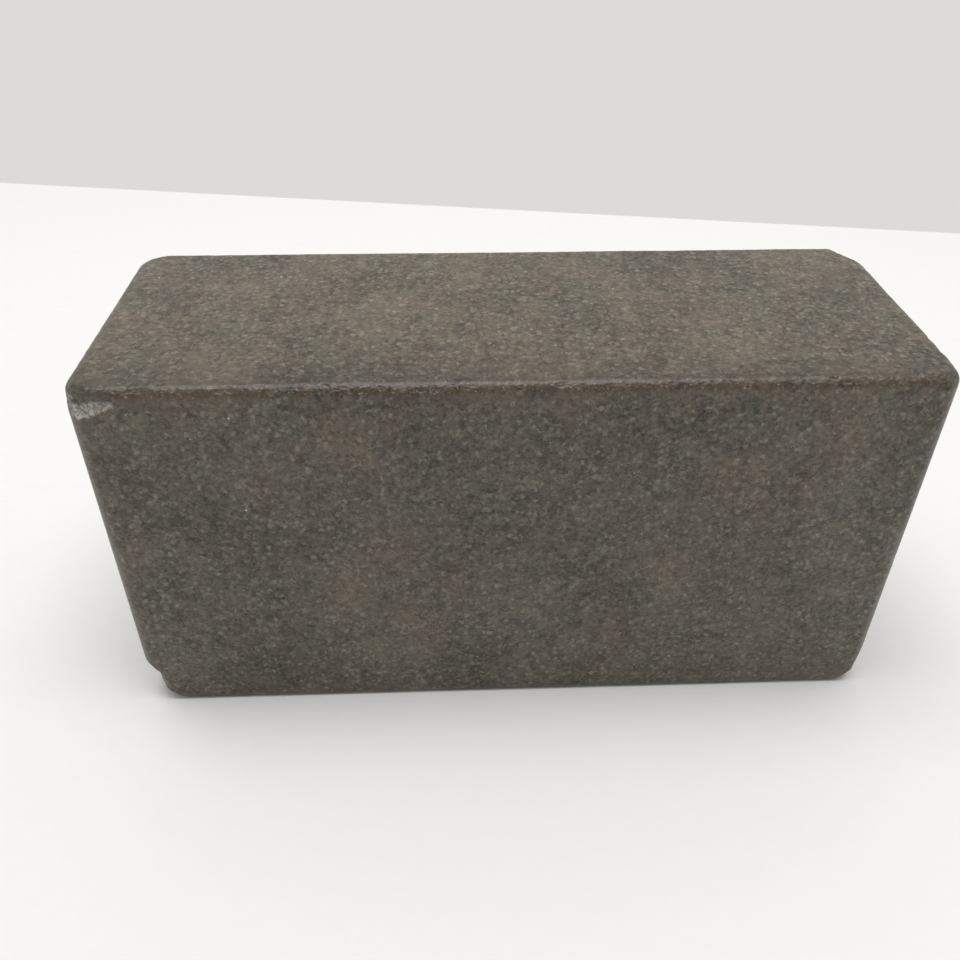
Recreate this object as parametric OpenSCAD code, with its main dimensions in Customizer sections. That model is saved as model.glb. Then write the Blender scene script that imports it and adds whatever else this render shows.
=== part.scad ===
// Granite block, honed on every face, with eased edges and four old chips.
// Millimetres. +X runs along the length, +Y from front to back, +Z up.
// The origin is the middle of the face that it rests on.

/* [Block] */
// Length, along X
block_length = 304.8; // [240:0.1:400]
// Depth from front to back, along Y
block_depth = 114.3; // [90:0.1:160]
// Height, along Z
block_height = 152.4; // [100:0.1:200]

/* [Edges] */
// Radius of the upright edge at the front left
front_left_r = 7; // [5:0.5:14]
// Radius of the upright edge at the front right
front_right_r = 8; // [5:0.5:14]
// Radius of the upright edge at the back right
back_right_r = 9; // [5:0.5:14]
// Radius of the upright edge at the back left
back_left_r = 12.5; // [5:0.5:14]
// Radius that eases the edges round the top face
top_edge_r = 4.3; // [1:0.1:4.8]
// Radius that eases the edges round the foot
foot_edge_r = 3; // [1:0.1:4.8]

/* [Spall under the front edge] */
// Length along the edge, from the left end
spall_length = 17.5; // [12:0.5:30]
// Depth at the left end
spall_depth = 3.9; // [3:0.1:5]
// Depth where it stops
spall_end_depth = 0.9; // [0.6:0.1:2.5]
// Drop from the top face to its deepest line, at the left end
spall_drop = 6.6; // [5:0.1:10]
// Drop from the top face to that line where it stops
spall_end_drop = 4.8; // [4:0.1:5]

/* [Chips at the foot] */
// Height on the front left edge where its chip starts
left_chip_top = 23; // [18:0.5:40]
// Height where that chip is at its full depth
left_chip_shoulder = 16.5; // [8:0.5:17]
// Depth of that chip into the edge
left_chip_depth = 4.5; // [1:0.1:5]
// Height on the front right edge where its chip starts
right_chip_top = 17.5; // [10:0.5:30]
// Height where that chip is at its full depth
right_chip_shoulder = 8; // [7:0.5:9]
// Depth of that chip into the edge
right_chip_depth = 1.2; // [0.5:0.1:3]
// Height of the bevel that both chips end in at the foot
foot_bevel = 6.5; // [0.5:0.5:6.5]

/* [Broken corner at the back] */
// Reach along the right end, from the back face
corner_chip_y = 22; // [14:0.5:26]
// Reach along the back face, from the right end
corner_chip_x = 12; // [9:0.5:16]
// Reach down from the top face
corner_chip_z = 20; // [10:0.5:30]

/* [Hidden] */

$fn = 64;
granite = [0.30, 0.28, 0.25];
half_length = block_length / 2;
half_depth = block_depth / 2;
// Chip cutters stand this far out of the stone
proud = 4;
// Both foot chips face this far round from their end of the block towards the front
foot_chip_turn = 30;
// Slopes of the spall's two flanks, measured from the upright face
spall_upper_flank = 7;
spall_lower_flank = 27;

// Upright profile of a side or of a corner of radius r, eased at the head and the foot
module edge_profile(r) {
    intersection() {
        square([r, block_height]);
        union() {
            translate([0, foot_edge_r])
                square([r, block_height - top_edge_r - foot_edge_r]);
            square([r - foot_edge_r, block_height / 2]);
            translate([0, block_height / 2])
                square([r - top_edge_r, block_height / 2]);
            translate([r - foot_edge_r, foot_edge_r])
                circle(foot_edge_r);
            translate([r - top_edge_r, block_height - top_edge_r])
                circle(top_edge_r);
        }
    }
}

// One quarter of the block: its rounded upright edge and the two sides that meet there.
// end is 1 for the right and -1 for the left, side is 1 for the back and -1 for the front.
module quarter(end, side, r) {
    core_x = half_length - r;
    core_y = half_depth - r;
    mirror([1 - end, 0, 0])
        mirror([0, 1 - side, 0]) {
            translate([core_x, core_y, 0])
                rotate_extrude()
                    edge_profile(r);
            translate([core_x, core_y, 0])
                rotate([90, 0, 0])
                    linear_extrude(core_y)
                        edge_profile(r);
            translate([0, core_y, 0])
                rotate([90, 0, 90])
                    linear_extrude(core_x)
                        edge_profile(r);
            cube([core_x, core_y, block_height]);
        }
}

module dressed_block() {
    quarter(-1, -1, front_left_r);
    quarter(1, -1, front_right_r);
    quarter(1, 1, back_right_r);
    quarter(-1, 1, back_left_r);
}

// A groove with two flanks that starts at the left end, gets shallower along the edge and stops short
module spall_cutter() {
    run_out = atan((spall_depth - spall_end_depth) / spall_length);
    rise = atan((spall_drop - spall_end_drop) / spall_length);
    out = spall_depth + proud;
    translate([-half_length, -half_depth + spall_depth, block_height - spall_drop])
        rotate([90, 0, 90 - run_out])
            rotate([-rise, 0, 0])
                translate([0, 0, -proud])
                    linear_extrude(spall_length + proud)
                        polygon([
                            [0, 0],
                            [-out, out / tan(spall_upper_flank)],
                            [-out, -out / tan(spall_lower_flank)]
                        ]);
}

// A flat taken off an upright front edge, with a slope above its shoulder and a bevel at the foot.
// end is 1 for the right and -1 for the left, r is the radius of the edge.
module foot_chip_cutter(end, r, top, shoulder, depth) {
    width = block_depth;
    floor_u = r - depth;
    proud_u = r + proud;
    slope = (top - shoulder) / depth;
    mirror([1 - end, 0, 0])
        translate([half_length - r, r - half_depth, 0])
            rotate([90, 0, -foot_chip_turn])
                translate([0, 0, -width / 2])
                    linear_extrude(width)
                        polygon([
                            [floor_u - foot_bevel - proud, -proud],
                            [floor_u, foot_bevel],
                            [floor_u, shoulder],
                            [proud_u, top + proud * slope],
                            [proud_u, -proud]
                        ]);
}

// A leaning flat across the back right corner, deepest at the top face
module corner_chip_cutter() {
    turn = atan(corner_chip_x / corner_chip_y);
    lean = atan(corner_chip_y * sin(turn) / corner_chip_z);
    translate([half_length, half_depth - corner_chip_y, block_height])
        rotate([0, -lean, turn])
            translate([0, -block_depth / 2, -block_height / 2])
                cube([4 * proud, block_depth, block_height]);
}

module granite_slab() {
    color(granite)
        difference() {
            dressed_block();
            spall_cutter();
            foot_chip_cutter(-1, front_left_r, left_chip_top, left_chip_shoulder, left_chip_depth);
            foot_chip_cutter(1, front_right_r, right_chip_top, right_chip_shoulder, right_chip_depth);
            corner_chip_cutter();
        }
}

granite_slab();
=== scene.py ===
"""A worn block of dark granite, honed on every face, of the kind that leather is stamped and tooled on.

All places are in metres in the block's own frame: +X along the length, +Y from front to back, +Z up, and the
origin in the middle of the face that it rests on.
"""

import math
import random

import bmesh
import bpy
import numpy as np
from mathutils import Matrix, Vector, noise


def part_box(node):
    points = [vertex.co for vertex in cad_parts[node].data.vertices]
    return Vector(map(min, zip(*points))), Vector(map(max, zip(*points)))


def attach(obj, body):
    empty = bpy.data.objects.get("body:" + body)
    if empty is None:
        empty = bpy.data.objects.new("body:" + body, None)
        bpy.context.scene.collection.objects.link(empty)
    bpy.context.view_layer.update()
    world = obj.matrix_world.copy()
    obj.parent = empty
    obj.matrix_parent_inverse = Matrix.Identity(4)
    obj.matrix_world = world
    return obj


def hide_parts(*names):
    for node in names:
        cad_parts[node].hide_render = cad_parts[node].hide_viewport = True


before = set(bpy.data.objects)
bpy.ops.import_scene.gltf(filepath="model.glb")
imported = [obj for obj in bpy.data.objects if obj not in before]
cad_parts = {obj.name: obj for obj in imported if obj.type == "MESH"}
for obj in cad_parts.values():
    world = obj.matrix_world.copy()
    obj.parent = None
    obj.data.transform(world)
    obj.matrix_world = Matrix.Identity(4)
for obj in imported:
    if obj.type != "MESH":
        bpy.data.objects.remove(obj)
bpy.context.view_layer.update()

MM = 0.001

LOW, HIGH = (np.array(corner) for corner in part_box("granite_slab"))
CENTRE = (LOW + HIGH) / 2
HALF = (HIGH - LOW) / 2
HALF_LENGTH, HALF_DEPTH, HALF_HEIGHT = HALF
LEFT, FRONT, FOOT = LOW
RIGHT, BACK, TOP = HIGH

# Radii of the upright edges, and of the eased edges round the top and the foot
FRONT_LEFT_R = 7 * MM
FRONT_RIGHT_R = 8 * MM
BACK_RIGHT_R = 9 * MM
BACK_LEFT_R = 12.5 * MM
TOP_EDGE_R = 4.3 * MM
FOOT_EDGE_R = 3 * MM


# ---------------------------------------------------------------------------------------------- camera

CAMERA_AT = (-25.1 * MM, -317.2 * MM, 306.6 * MM)
CAMERA_TURN = math.radians(2.53)  # round to the right of +Y
CAMERA_PITCH = math.radians(36.6)  # below level
CAMERA_ROLL = math.radians(0.39)
LENS = 34.1  # on a sensor 36 mm wide


def add_camera():
    camera = bpy.data.objects.new("camera", bpy.data.cameras.new("camera"))
    camera.data.lens = LENS
    camera.data.sensor_width = 36
    camera.data.clip_start = 0.01
    camera.matrix_world = (
        Matrix.Translation(CAMERA_AT)
        @ Matrix.Rotation(-CAMERA_TURN, 4, "Z")
        @ Matrix.Rotation(math.pi / 2 - CAMERA_PITCH, 4, "X")
        @ Matrix.Rotation(CAMERA_ROLL, 4, "Z")
    )
    bpy.context.scene.collection.objects.link(camera)
    bpy.context.scene.camera = camera


# ---------------------------------------------------------------------------------------------- shape

COARSE = 2.8 * MM  # mesh spacing in the middle of a face; each step towards an edge or a pit halves it
CHIP_TURN = math.radians(30)  # both foot chips face this far round from their end of the block to the front
FOOT_BEVEL = 6.5 * MM  # height of the bevel that both foot chips end in
BITE_SPACING = 7 * MM  # average gap between the old bites along an edge
PITS = 48
CLEAR_OF_EDGES = 16 * MM  # pits keep this far from the edges, where the mesh is already fine
BRUISE_DEPTH = 0.12 * MM
RIM_DEPTH = 0.15 * MM  # the look of a break comes in over this depth
CREASE = math.radians(32)  # a sharper fold than this is a sharp edge of a break

# The marks of hands, and the darkening painted on the top, which fade over these distances
HANDLED_REACH = 20 * MM  # away from the front edge of the top
GRIP_REACH = 55 * MM  # along that edge, from its left end
TOP_DARKENING_REACH = 12 * MM  # across the top, at the right end
GRIME_BAND = 4 * MM  # below an arris, where it is handled least


def edge_distance(point):
    """How far a point on the sharp box's surface lies from the nearest edge of the box."""
    gaps = sorted(half - abs(p - c) for p, c, half in zip(point, CENTRE, HALF))
    return gaps[1]


def add_box_grid(bm):
    """The sharp box as one closed sheet of nearly square faces."""
    cells = [max(2, round(2 * half / COARSE)) for half in HALF]
    corners = {}

    def corner(index):
        if index not in corners:
            share = np.array(index) / cells
            corners[index] = bm.verts.new(LOW + share * 2 * HALF)
        return corners[index]

    for axis in range(3):
        u, v = (axis + 1) % 3, (axis + 2) % 3
        for side in (0, cells[axis]):
            for a in range(cells[u]):
                for b in range(cells[v]):
                    ring = [(a, b), (a + 1, b), (a + 1, b + 1), (a, b + 1)]
                    if side == 0:
                        ring.reverse()
                    face = []
                    for i, j in ring:
                        index = [0, 0, 0]
                        index[axis], index[u], index[v] = side, i, j
                        face.append(corner(tuple(index)))
                    bm.faces.new(face)


def near_any_edge(point):
    return edge_distance(point) < 12 * MM


def near_handled_edge(point):
    """Near the edges round the top and all those of the front, which show the most wear."""
    return edge_distance(point) < 5.5 * MM and (point.z > TOP - 12 * MM or point.y < FRONT + 12 * MM)


def near_chips(point):
    """Near the front edge of the top, or near the spall under its left end."""
    along_edge = point.y < FRONT + 3.2 * MM and point.z > TOP - 4.5 * MM
    return along_edge or (point - Vector((LEFT + 7 * MM, FRONT, TOP - 7 * MM))).length < 13 * MM


def refine(bm, wanted):
    """Halves the mesh spacing of the faces whose middle is wanted."""
    faces = [f for f in bm.faces if wanted(f.calc_center_median())]
    edges = list({e for f in faces for e in f.edges})
    bmesh.ops.subdivide_edges(bm, edges=edges, cuts=1, use_grid_fill=True)


def smooth_noise(points, size, seed):
    """Smooth noise from -1 to 1 whose bumps are about size across, one value for each point."""
    shift = Vector((seed * 7.31, seed * 3.77, seed * 5.13))
    return np.array([noise.noise(Vector(p) / size + shift) for p in points])


def block_distance(points, wear):
    """Signed distance to the eased block; wear is added to the radius of the eased edges."""
    x, y, z = (points - CENTRE).T
    front = y < 0
    corner_r = np.where(
        x < 0,
        np.where(front, FRONT_LEFT_R, BACK_LEFT_R),
        np.where(front, FRONT_RIGHT_R, BACK_RIGHT_R),
    )
    qx = np.abs(x) - HALF_LENGTH + corner_r
    qy = np.abs(y) - HALF_DEPTH + corner_r
    plan = np.hypot(np.maximum(qx, 0), np.maximum(qy, 0)) + np.minimum(np.maximum(qx, qy), 0) - corner_r
    ease = np.where(z > 0, TOP_EDGE_R, FOOT_EDGE_R) + wear
    side = plan + ease
    end = np.abs(z) - HALF_HEIGHT + ease
    return np.hypot(np.maximum(side, 0), np.maximum(end, 0)) + np.minimum(np.maximum(side, end), 0) - ease


def outward(points, wear):
    """Unit normals of the eased block near each point."""
    step = 0.01 * MM
    slopes = [
        block_distance(points + step * axis, wear) - block_distance(points - step * axis, wear)
        for axis in np.eye(3)
    ]
    normals = np.array(slopes).T
    return normals / np.linalg.norm(normals, axis=1, keepdims=True)


def ease_edges(points):
    """Draws the sharp box in to the eased block. The arris is worn a little more here than there."""
    wear = 0.4 * MM * smooth_noise(points, 22 * MM, 1) + 0.22 * MM * smooth_noise(points, 6 * MM, 2)
    wear += 0.15 * MM * smooth_noise(points, 2.2 * MM, 3)
    # The ends are handled less than the front, and the two front corners of the top most of all
    wear -= 0.6 * MM * np.clip(1 - (HALF_LENGTH - np.abs(points[:, 0])) / (6 * MM), 0, 1)
    for end, more, reach in ((LEFT, 4.4 * MM, 9 * MM), (RIGHT, 2.5 * MM, 15 * MM)):
        away = np.linalg.norm(points - (end, FRONT, TOP), axis=1)
        wear += more * np.clip(1 - away / reach, 0, 1)
    for _ in range(3):
        normals = outward(points, wear)
        points = points - normals * block_distance(points, wear)[:, None]
    return points, outward(points, wear)


def flank(through, facing):
    """One flat side of a chip: a point on it and the way it faces, as a unit normal and an offset."""
    normal = np.array(facing, float)
    normal /= np.linalg.norm(normal)
    return normal, float(normal @ np.array(through))


def break_off(points, flanks, roughness, grain, seed):
    """Removes the stone in front of all the flanks and leaves a rough break. Returns the moved points, how
    deep the break went at each of them, and on which flank."""
    fronts = np.array([points @ normal - offset for normal, offset in flanks])
    nearest = fronts.min(axis=0)
    side = fronts.argmin(axis=0)
    rough = np.zeros(len(points))
    near = np.flatnonzero(nearest > -roughness)
    rough[near] = roughness * smooth_noise(points[near], grain, seed)
    rough[near] += 0.5 * roughness * smooth_noise(points[near], grain / 2.5, seed + 1)
    depth = nearest + rough
    hit = depth > 0
    ways = np.array([normal for normal, _ in flanks])[side]
    moved = points.copy()
    moved[hit] -= ways[hit] * depth[hit, None]
    return moved, np.where(hit, depth, 0), side


def foot_chip(end, radius, top, shoulder, depth):
    """A chip at the foot of a front upright edge, in two breaks: a flat with a slope above its shoulder, and
    the bevel at the foot. end is 1 for the right and -1 for the left."""
    way = np.array((end * math.cos(CHIP_TURN), -math.sin(CHIP_TURN), 0))
    middle = np.array((end * (HALF_LENGTH - radius), FRONT + radius, FOOT))
    flat = middle + (radius - depth) * way
    slope_top = middle + radius * way + (0, 0, top)
    return (
        [flank(flat, way), flank(slope_top, (top - shoulder) * way + (0, 0, -depth))],
        [flank(flat + (0, 0, FOOT_BEVEL), way + (0, 0, -1))],
    )


def chips():
    """The four larger chips, break by break: flanks, how fresh each of them looks, roughness and its grain
    size. Freshness runs from -1, darkened most, to 1, newly broken."""
    # Spall under the front edge at the left end, blunt where it stops
    deepest = (LEFT + 7.6 * MM, FRONT + 2.6 * MM, TOP - 5.8 * MM)
    spall = [
        flank(deepest, (-0.16, -0.98, -0.12)),
        flank(deepest, (-0.2, -0.87, 0.46)),
        flank((LEFT + 17.8 * MM, FRONT, TOP), (-0.8, -0.6, 0)),
    ]
    # The ledge where it runs round the corner
    under_ledge = (LEFT + 2.4 * MM, FRONT + 4.9 * MM, TOP - 3.2 * MM)
    ledge = [flank(under_ledge, (-0.66, -0.3, -0.69)), flank(under_ledge, (-0.72, -0.64, 0.26))]
    left_flat, left_bevel = foot_chip(-1, FRONT_LEFT_R, 22 * MM, 15.5 * MM, 4.2 * MM)
    right_flat, right_bevel = foot_chip(1, FRONT_RIGHT_R, 17.5 * MM, 8 * MM, 1.2 * MM)
    # Corner knocked off at the back right
    corner = [flank((RIGHT, BACK - 22 * MM, TOP), (1 / 12, 1 / 22, 1 / 20))]
    return (
        (spall, (-0.45, 1.0, 0.2), 0.35 * MM, 1.8 * MM),
        (ledge, (-0.9, 0.6), 0.25 * MM, 1.8 * MM),
        (left_flat, (0.25, 0.25), 0.3 * MM, 4 * MM),
        (left_bevel, (0.15,), 0.3 * MM, 4 * MM),
        (right_flat, (0.15, 0.15), 0.2 * MM, 4 * MM),
        (right_bevel, (0.15,), 0.3 * MM, 4 * MM),
        (corner, (0.3,), 0.25 * MM, 4 * MM),
    )


def bite(points, normals, middle, size, depth, seed):
    """How far a shallow scallop with a ragged outline cuts in at each point. size holds its half widths
    along X, Y and Z."""
    offset = (points - np.array(middle)) / np.array(size)
    reach = (offset**2).sum(axis=1)
    near = np.flatnonzero(reach < 2.5)
    cut = np.zeros(len(points))
    if len(near):
        ragged = reach[near] * (1 + 0.7 * smooth_noise(points[near], max(size) * 0.6, seed))
        cut[near] = depth * np.clip(1 - ragged, 0, 1) ** 0.6
    return cut


def edge_bites(rng):
    """Small bites out of the arrises, along every edge of the block. Each one is its middle, its half
    widths, its depth and its freshness."""
    bites = []
    # Those that stand out along the front edge of the top: distance from the left end, drop, width, depth
    for along, drop, width, depth in (
        (66, 0.3, 1.7, 0.3),
        (80, 0.2, 1.1, 0.4),
        (119, 2.2, 1.4, 0.35),
        (123, 2.6, 1.0, 0.3),
        (177, 2.6, 1.0, 0.3),
        (222, 4.6, 1.8, 0.35),
        (229, 2.6, 1.3, 0.5),
        (259, 0.6, 1.9, 0.5),
        (263, 1.6, 1.5, 0.45),
        (267, 2.8, 1.1, 0.4),
        (288, 0.1, 1.5, 0.35),
    ):
        middle = (LEFT + along * MM, FRONT + max(0.3, 2.4 - drop) * MM, TOP - drop * MM)
        bites.append((middle, (width * MM, 0.9 * MM, 0.7 * MM), depth * MM, 1.0))
    # Older wear, scattered along all twelve edges
    for axis in range(3):
        others = [i for i in range(3) if i != axis]
        length = 2 * HALF[axis]
        for side in ((-1, -1), (-1, 1), (1, -1), (1, 1)):
            for _ in range(round(length / BITE_SPACING)):
                middle = CENTRE.copy()
                middle[axis] += (rng.random() - 0.5) * length
                inset = TOP_EDGE_R * 0.3 if axis != 2 else FRONT_RIGHT_R * 0.3
                for i, s in zip(others, side):
                    middle[i] += s * (HALF[i] - inset * (0.3 + 1.4 * rng.random()))
                half_width = (0.6 + 1.5 * rng.random() ** 2) * MM
                size = np.full(3, half_width * 0.8)
                size[axis] = half_width * (1 + rng.random())
                depth = (0.08 + 0.3 * rng.random() ** 2) * MM
                bites.append((middle, size, depth, 0.5 * rng.random() ** 2))
    return bites


def face_pits(rng):
    """Pits where a grain has come out of a face, a third of them fresh. Each one is given as a bite is."""
    pits = []
    for _ in range(PITS):
        axis = rng.choices((0, 1, 2), weights=(1, 3, 3))[0]
        middle = CENTRE + (HALF - CLEAR_OF_EDGES) * np.array([2 * rng.random() - 1 for _ in range(3)])
        middle[axis] = CENTRE[axis] + HALF[axis] * rng.choice((-1, 1))
        width = (0.5 + 0.7 * rng.random()) * MM
        depth = (0.1 + 0.2 * rng.random()) * MM
        pits.append((middle, np.full(3, width), depth, rng.choice((0.0, 0.0, 0.8))))
    return pits


def write_share(mesh, name, values):
    """A value from 0 to 1 at each point, for the material to read."""
    layer = mesh.attributes.new(name, "FLOAT", "POINT")
    layer.data.foreach_set("value", np.clip(values, 0, 1).astype(np.float32))


def refined_box(pit_places):
    """The sharp box as a mesh that gets finer towards its edges, the spall and each pit."""
    bm = bmesh.new()
    add_box_grid(bm)
    for wanted in (near_any_edge, near_handled_edge, near_chips):
        refine(bm, wanted)
    for reach in (4 * MM, 2.8 * MM, 2 * MM):
        refine(bm, lambda point: min((point - place).length for place in pit_places) < reach)
    mesh = bpy.data.meshes.new("granite_block")
    bm.to_mesh(mesh)
    bm.free()
    return mesh


def grime_and_top_darkening(sharp, normals):
    """How much brown dirt lies at each point, and how much darker the top is painted there, from its place
    on the sharp box.
    """
    # Handling stains the arris and a few millimetres below it, and rubs clean where the face looks up. It is
    # worst on the front edge of the top, towards the left end, where the block is gripped
    arris = np.sort(HALF - np.abs(sharp - CENTRE), axis=1)[:, 1]
    edge_gap = sharp[:, 1] - FRONT + np.abs(TOP - sharp[:, 2])
    handling = np.exp(-edge_gap / HANDLED_REACH)
    grip = 1 + 1.5 * handling * np.exp(-(sharp[:, 0] - LEFT) / GRIP_REACH)
    looks_up = np.clip(normals[:, 2], 0, 1)
    band = GRIME_BAND * grip
    band *= 1 + 0.7 * smooth_noise(sharp, 9 * MM, 5) + 0.3 * smooth_noise(sharp, 2.5 * MM, 6)
    grime = np.clip(1.3 - arris / band, 0, 1) * (1 - 0.8 * looks_up) * (0.5 + 0.5 * handling)

    # The top is painted darker too, less and less with the distance from its front edge
    dark = 0.65 * np.exp(-edge_gap / (TOP_DARKENING_REACH * grip)) * looks_up
    return grime, dark


def make_block():
    rng = random.Random(4)
    bites = edge_bites(rng)
    pits = face_pits(rng)
    mesh = refined_box([Vector(middle) for middle, *_ in pits])

    sharp = np.empty(len(mesh.vertices) * 3)
    mesh.vertices.foreach_get("co", sharp)
    sharp = sharp.reshape(-1, 3)
    points, normals = ease_edges(sharp)
    grime, dark = grime_and_top_darkening(sharp, normals)

    # Small bruises all along the front edge of the top
    handled = (sharp[:, 1] < FRONT + 2.2 * MM) & (sharp[:, 2] > TOP - 3.5 * MM)
    fresh = np.where(handled, np.clip(6 * smooth_noise(sharp, 0.9 * MM, 7) - 2.6, 0, 0.7), 0)
    points = points - normals * (BRUISE_DEPTH * handled * smooth_noise(sharp, 1.3 * MM, 8))[:, None]

    for seed, (flanks, freshness, roughness, grain) in enumerate(chips()):
        points, depth, side = break_off(points, flanks, roughness, grain, 20 + 3 * seed)
        share = np.clip(depth / RIM_DEPTH, 0, 1)
        look = np.array(freshness)[side] * share
        fresh = np.maximum(fresh * (1 - share), look)
        # A flank whose freshness is below 0 is painted darker
        dark = np.maximum(dark * (1 - share), -look)
        grime *= 1 - share

    cut = np.zeros(len(points))
    for seed, (middle, size, depth, freshness) in enumerate(bites + pits):
        here = bite(points, normals, middle, size, depth, 50 + seed)
        cut = np.maximum(cut, here)
        # Cream at the rim, where the stone is bruised, and dirty in the hollow; a fresh hollow is painted
        # darker too, as painted shade
        share = here / depth
        rim = np.clip(share / 0.1, 0, 1) * np.clip(1.3 - 2 * share, 0, 1)
        fresh = np.maximum(fresh * (1 - share), freshness * rim)
        grime = np.maximum(grime, share)
        dark = np.maximum(dark, 0.8 * freshness * share**2)
    points = points - normals * cut[:, None]

    mesh.vertices.foreach_set("co", points.ravel())
    mesh.shade_smooth()
    mesh.set_sharp_from_angle(angle=CREASE)
    write_share(mesh, "fresh_break", fresh)
    write_share(mesh, "edge_grime", grime)
    # How much darker to paint each point, painted shade in the hollows of fresh bites and pits included
    write_share(mesh, "darkening_and_hollow_shade", dark)
    mesh.update()

    block = bpy.data.objects.new("granite_block", mesh)
    bpy.context.scene.collection.objects.link(block)
    block.data.materials.append(honed_granite())
    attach(block, "root")
    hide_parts("granite_slab")


# ---------------------------------------------------------------------------------------------- materials

# Sizes in the stone
CRYSTAL = 1.0 * MM  # across one crystal
OUTLINE_WAVE = 1.5 * MM  # from one bend of a crystal's outline to the next
OUTLINE_PUSH = 3.2 * MM  # noise stays near its middle, so this bends the outlines by about half a millimetre
FELDSPAR_GAP = 2.3 * MM  # from one cluster of feldspar to the next
CLOUD = 5 * MM
BROAD_CLOUD = 35 * MM
PATCH = 12 * MM
FLECK_GAP = 7 * MM  # from one place that may hold a cream fleck to the next
BUMP_HEIGHT = 0.06 * MM

# Sockets of a Mix node of colours: its two colours, and the colour that comes out
FIRST, SECOND, MIXED = 6, 7, 2


def linear(hex_code):
    """An sRGB hex colour as linear RGBA."""
    parts = [int(hex_code[i : i + 2], 16) / 255 for i in (1, 3, 5)]
    return (*[p / 12.92 if p <= 0.04045 else ((p + 0.055) / 1.055) ** 2.4 for p in parts], 1)


def new_material(name):
    material = bpy.data.materials.new(name)
    material.use_nodes = True
    material.node_tree.nodes.clear()
    return material, material.node_tree


def add_node(tree, kind, inputs=None, **settings):
    """Adds a node. inputs maps a socket's name or number to a value, or to another node's output to link."""
    node = tree.nodes.new(kind)
    for name, value in settings.items():
        setattr(node, name, value)
    for socket, value in (inputs or {}).items():
        if isinstance(value, bpy.types.NodeSocket):
            tree.links.new(value, node.inputs[socket])
        else:
            node.inputs[socket].default_value = value
    return node


def granite_grain(tree, place):
    """Crystals of feldspar, quartz and mica, about 1 mm across. Returns random shades for each crystal, and
    how much pale feldspar there is."""
    # The crystals interlock, so their outlines wander
    wander = add_node(
        tree, "ShaderNodeTexNoise", {"Vector": place, "Scale": 1 / OUTLINE_WAVE, "Detail": 2.0}
    )
    centred = add_node(
        tree,
        "ShaderNodeVectorMath",
        {0: wander.outputs["Color"], 1: (0.5, 0.5, 0.5)},
        operation="SUBTRACT",
    )
    pushed = add_node(
        tree,
        "ShaderNodeVectorMath",
        {0: centred.outputs[0], 1: (OUTLINE_PUSH,) * 3, 2: place},
        operation="MULTIPLY_ADD",
    )
    crystals = add_node(
        tree, "ShaderNodeTexVoronoi", {"Vector": pushed.outputs[0], "Scale": 1 / CRYSTAL}
    )
    shades = add_node(tree, "ShaderNodeSeparateColor", {"Color": crystals.outputs["Color"]})

    # Paler clusters of feldspar, about 2 mm across, each of its own strength
    feldspar = add_node(
        tree, "ShaderNodeTexVoronoi", {"Vector": pushed.outputs[0], "Scale": 1 / FELDSPAR_GAP}
    )
    strengths = add_node(tree, "ShaderNodeSeparateColor", {"Color": feldspar.outputs["Color"]})
    disc = add_node(
        tree,
        "ShaderNodeMapRange",
        {"Value": feldspar.outputs["Distance"], "From Min": 0.66, "From Max": 0.2},
        interpolation_type="SMOOTHSTEP",
    )
    cluster = add_node(
        tree, "ShaderNodeMath", {0: disc.outputs[0], 1: strengths.outputs["Red"]}, operation="MULTIPLY"
    )
    # Crystals of mica break each one up
    gaps = add_node(
        tree, "ShaderNodeMapRange", {"Value": shades.outputs["Green"], "From Min": 0.0, "From Max": 0.6}
    )
    pale = add_node(
        tree, "ShaderNodeMath", {0: cluster.outputs[0], 1: gaps.outputs[0]}, operation="MULTIPLY"
    )
    return shades, pale


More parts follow.
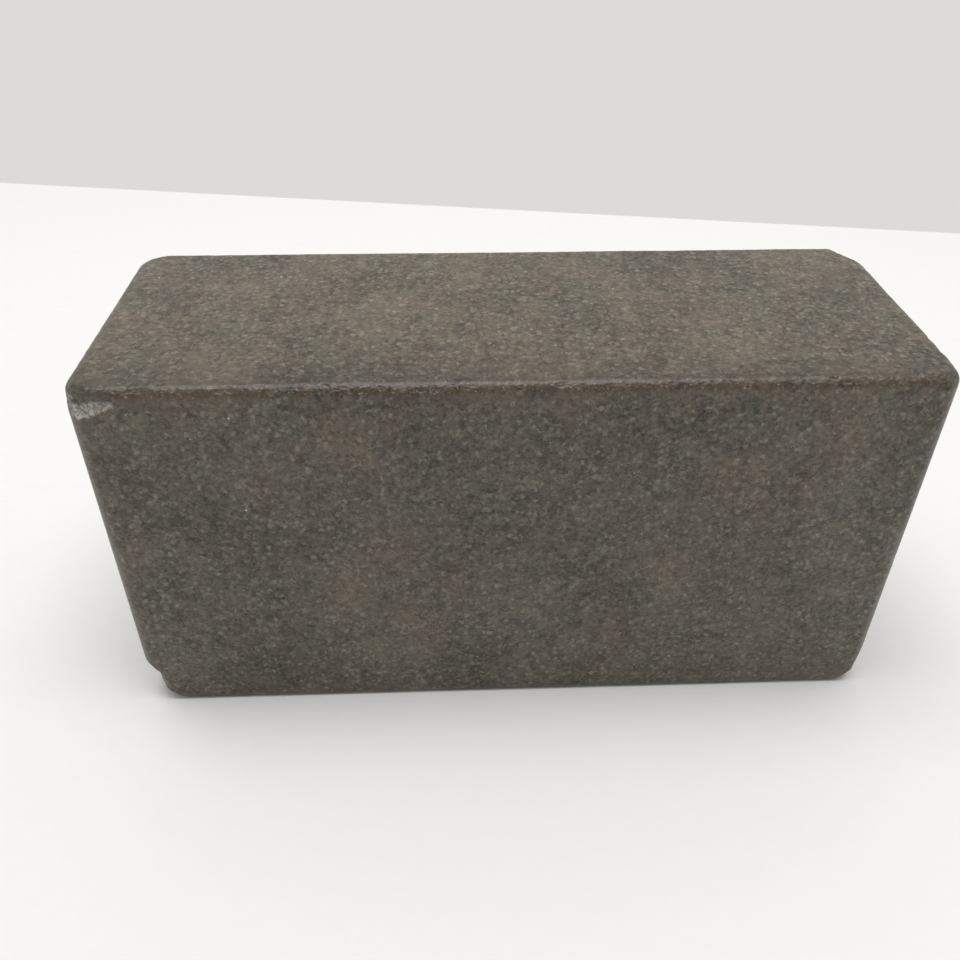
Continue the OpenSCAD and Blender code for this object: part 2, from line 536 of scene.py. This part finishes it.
def clean_granite(tree, place, cloud, shades, pale):
    """The colour of the honed stone where it is neither stained nor broken."""
    # The brown ground, from 0 for its darkest crystal to 1 for its palest, in clouds, with the grey feldspar
    # over it
    broad = add_node(
        tree,
        "ShaderNodeTexNoise",
        {"Vector": place, "Scale": 1 / BROAD_CLOUD, "Detail": 2.0, "Roughness": 0.5},
    )
    tone = add_node(
        tree, "ShaderNodeMath", {0: shades.outputs["Red"], 1: 0.32, 2: -0.37}, operation="MULTIPLY_ADD"
    )
    for part, weight in ((cloud, 0.5), (broad, 0.42)):
        tone = add_node(
            tree,
            "ShaderNodeMath",
            {0: part.outputs["Fac"], 1: weight, 2: tone.outputs[0]},
            operation="MULTIPLY_ADD",
        )
    ground = add_node(
        tree,
        "ShaderNodeMix",
        {"Factor": tone.outputs[0], FIRST: linear("#2A261E"), SECOND: linear("#978C7C")},
        data_type="RGBA",
        clamp_factor=True,
    )
    pale_share = add_node(tree, "ShaderNodeMath", {0: pale.outputs[0], 1: 0.66}, operation="MULTIPLY")
    stone = add_node(
        tree,
        "ShaderNodeMix",
        {"Factor": pale_share.outputs[0], FIRST: ground.outputs[MIXED], SECOND: linear("#98968B")},
        data_type="RGBA",
    )

    # Patches lean to brown or to green-grey
    patches = add_node(
        tree, "ShaderNodeTexNoise", {"Vector": place, "Scale": 1 / PATCH, "Detail": 3.0, "Roughness": 0.6}
    )
    lean = add_node(
        tree, "ShaderNodeMapRange", {"Value": patches.outputs["Fac"], "From Min": 0.36, "From Max": 0.64}
    )
    tint = add_node(
        tree,
        "ShaderNodeMix",
        {"Factor": lean.outputs[0], FIRST: linear("#FBF3EA"), SECOND: linear("#F2F6ED")},
        data_type="RGBA",
    )
    stone = add_node(
        tree,
        "ShaderNodeMix",
        {"Factor": 1.0, FIRST: stone.outputs[MIXED], SECOND: tint.outputs[MIXED]},
        data_type="RGBA",
        blend_type="MULTIPLY",
    )

    # A few cream feldspar flecks, up to 1 mm across: one place in eight has one
    flecks = add_node(tree, "ShaderNodeTexVoronoi", {"Vector": place, "Scale": 1 / FLECK_GAP})
    fleck_draw = add_node(tree, "ShaderNodeSeparateColor", {"Color": flecks.outputs["Color"]})
    fleck_size = add_node(
        tree, "ShaderNodeMath", {0: fleck_draw.outputs["Red"], 1: 0.5, 2: -0.44}, operation="MULTIPLY_ADD"
    )
    fleck = add_node(
        tree,
        "ShaderNodeMath",
        {0: flecks.outputs["Distance"], 1: fleck_size.outputs[0]},
        operation="LESS_THAN",
    )
    fleck_share = add_node(tree, "ShaderNodeMath", {0: fleck.outputs[0], 1: 0.8}, operation="MULTIPLY")
    return add_node(
        tree,
        "ShaderNodeMix",
        {"Factor": fleck_share.outputs[0], FIRST: stone.outputs[MIXED], SECOND: linear("#DDD7C8")},
        data_type="RGBA",
    )


def worn_granite(tree, stone, cloud, shades, grime, fresh):
    """The stone's colour where it is painted darker, with its dirt and its breaks; the darkening in the
    hollows of fresh bites and pits is painted shade.
    """
    # Stone painted darker: the top near its front edge, the dark flanks of the spall and ledge, and painted
    # shade in the hollows of fresh bites and pits
    dark = add_node(tree, "ShaderNodeAttribute", attribute_name="darkening_and_hollow_shade")
    stone = add_node(
        tree,
        "ShaderNodeMix",
        {"Factor": dark.outputs["Fac"], FIRST: stone.outputs[MIXED], SECOND: linear("#A8A5A2")},
        data_type="RGBA",
        blend_type="MULTIPLY",
    )

    # Brown dirt on the eased edges and in the hollows, broken up by the clouds
    hold = add_node(
        tree,
        "ShaderNodeMapRange",
        {"Value": cloud.outputs["Fac"], "From Min": 0.3, "From Max": 0.7, "To Min": 0.4, "To Max": 0.9},
    )
    grime_share = add_node(
        tree, "ShaderNodeMath", {0: grime.outputs["Fac"], 1: hold.outputs[0]}, operation="MULTIPLY"
    )
    stone = add_node(
        tree,
        "ShaderNodeMix",
        {"Factor": grime_share.outputs[0], FIRST: stone.outputs[MIXED], SECOND: linear("#5C4D3C")},
        data_type="RGBA",
    )

    # A fresh break shows the stone's pale, unstained inside
    inside = add_node(
        tree,
        "ShaderNodeMix",
        {"Factor": shades.outputs["Red"], FIRST: linear("#726F69"), SECOND: linear("#BCB9B1")},
        data_type="RGBA",
    )
    fresh_share = add_node(
        tree, "ShaderNodeMath", {0: fresh.outputs["Fac"], 1: 0.85}, operation="MULTIPLY"
    )
    return add_node(
        tree,
        "ShaderNodeMix",
        {"Factor": fresh_share.outputs[0], FIRST: stone.outputs[MIXED], SECOND: inside.outputs[MIXED]},
        data_type="RGBA",
    )


def honed_granite():
    """Fine-grained dark granite, sawn and then honed, not polished: the grains show as soft grey specks in a
    brown-black ground, and the surface gives a wide, dull reflection. Breaks show paler, rougher stone."""
    material, tree = new_material("honed_granite")
    place = add_node(tree, "ShaderNodeTexCoord").outputs["Object"]
    cloud = add_node(
        tree, "ShaderNodeTexNoise", {"Vector": place, "Scale": 1 / CLOUD, "Detail": 2.0, "Roughness": 0.6}
    )
    grime = add_node(tree, "ShaderNodeAttribute", attribute_name="edge_grime")
    fresh = add_node(tree, "ShaderNodeAttribute", attribute_name="fresh_break")
    shades, pale = granite_grain(tree, place)
    stone = clean_granite(tree, place, cloud, shades, pale)
    stone = worn_granite(tree, stone, cloud, shades, grime, fresh)

    # Honed to about 400 grit. Hands have rubbed the arris a little glossier, and a break is rough
    honed = add_node(
        tree, "ShaderNodeMath", {0: grime.outputs["Fac"], 1: -0.03, 2: 0.42}, operation="MULTIPLY_ADD"
    )
    roughness = add_node(
        tree,
        "ShaderNodeMath",
        {0: fresh.outputs["Fac"], 1: 0.35, 2: honed.outputs[0]},
        operation="MULTIPLY_ADD",
    )
    # Hard feldspar stands a little proud of the softer crystals
    bump = add_node(
        tree, "ShaderNodeBump", {"Height": pale.outputs[0], "Strength": 0.5, "Distance": BUMP_HEIGHT}
    )
    shader = add_node(
        tree,
        "ShaderNodeBsdfPrincipled",
        {
            "Base Color": stone.outputs[MIXED],
            "Roughness": roughness.outputs[0],
            "Normal": bump.outputs[0],
            "IOR": 1.5,
            "Metallic": 0.0,
        },
    )
    add_node(tree, "ShaderNodeOutputMaterial", {"Surface": shader.outputs[0]})
    return material


def matt_paper():
    """Seamless studio paper: flat, pale and without gloss."""
    material, tree = new_material("matt_paper")
    # Mottled every 6 to 9 mm across the table top, almost too faintly to see
    fibre = add_node(tree, "ShaderNodeTexNoise", {"Scale": 900.0, "Detail": 2.0})
    tone = add_node(
        tree,
        "ShaderNodeMix",
        {"Factor": fibre.outputs["Fac"], FIRST: linear("#EFEFEE"), SECOND: linear("#F2F2F1")},
        data_type="RGBA",
    )
    shader = add_node(
        tree, "ShaderNodeBsdfPrincipled", {"Base Color": tone.outputs[MIXED], "Roughness": 0.9, "IOR": 1.2}
    )
    add_node(tree, "ShaderNodeOutputMaterial", {"Surface": shader.outputs[0]})
    return material


# ---------------------------------------------------------------------------------------------- studio

FAR = 4.0  # the table top goes on past everything in view

SOFTBOX_AT = (-0.02, -0.05, 2.4)
SOFTBOX_SIZE = (2.2, 1.0)
SOFTBOX_WATTS = 36


def add_floor():
    """A pale table top. Its back edge runs a little askew behind the block."""
    corners = [(-FAR, -FAR), (FAR, -FAR), (FAR, -0.17), (-0.468, 0.61), (-FAR, 1.8)]
    mesh = bpy.data.meshes.new("floor")
    mesh.from_pydata([(x, y, 0) for x, y in corners], [], [list(range(len(corners)))])
    floor = bpy.data.objects.new("floor", mesh)
    bpy.context.scene.collection.objects.link(floor)
    mesh.materials.append(matt_paper())


def add_softbox():
    """One wide lamp overhead, aimed at the foot of the block."""
    light = bpy.data.lights.new("overhead_softbox", "AREA")
    light.shape = "RECTANGLE"
    light.size, light.size_y = SOFTBOX_SIZE
    light.energy = SOFTBOX_WATTS
    lamp = bpy.data.objects.new("overhead_softbox", light)
    lamp.location = SOFTBOX_AT
    lamp.rotation_euler = (-Vector(SOFTBOX_AT)).to_track_quat("-Z", "Y").to_euler()
    bpy.context.scene.collection.objects.link(lamp)


def add_surroundings():
    """A pale room, darker behind the camera, where nothing is lit."""
    world = bpy.data.worlds.new("studio")
    bpy.context.scene.world = world
    world.use_nodes = True
    tree = world.node_tree
    tree.nodes.clear()
    wall = linear("#DDDBD7")
    way = add_node(tree, "ShaderNodeTexCoord")
    parts = add_node(tree, "ShaderNodeSeparateXYZ", {"Vector": way.outputs["Generated"]})
    dark = add_node(
        tree,
        "ShaderNodeMapRange",
        {"Value": parts.outputs["Y"], "From Min": -0.1, "From Max": -0.6},
        interpolation_type="SMOOTHSTEP",
    )
    tone = add_node(
        tree,
        "ShaderNodeMix",
        {"Factor": dark.outputs[0], FIRST: wall, SECOND: linear("#8A8A8A")},
        data_type="RGBA",
    )
    seen = add_node(tree, "ShaderNodeLightPath")
    shown = add_node(
        tree,
        "ShaderNodeMix",
        {"Factor": seen.outputs["Is Camera Ray"], FIRST: tone.outputs[MIXED], SECOND: wall},
        data_type="RGBA",
    )
    light = add_node(tree, "ShaderNodeBackground", {"Color": shown.outputs[MIXED], "Strength": 1.0})
    add_node(tree, "ShaderNodeOutputWorld", {"Surface": light.outputs[0]})


add_camera()
make_block()
add_floor()
add_softbox()
add_surroundings()
bpy.context.scene.view_settings.view_transform = "Standard"
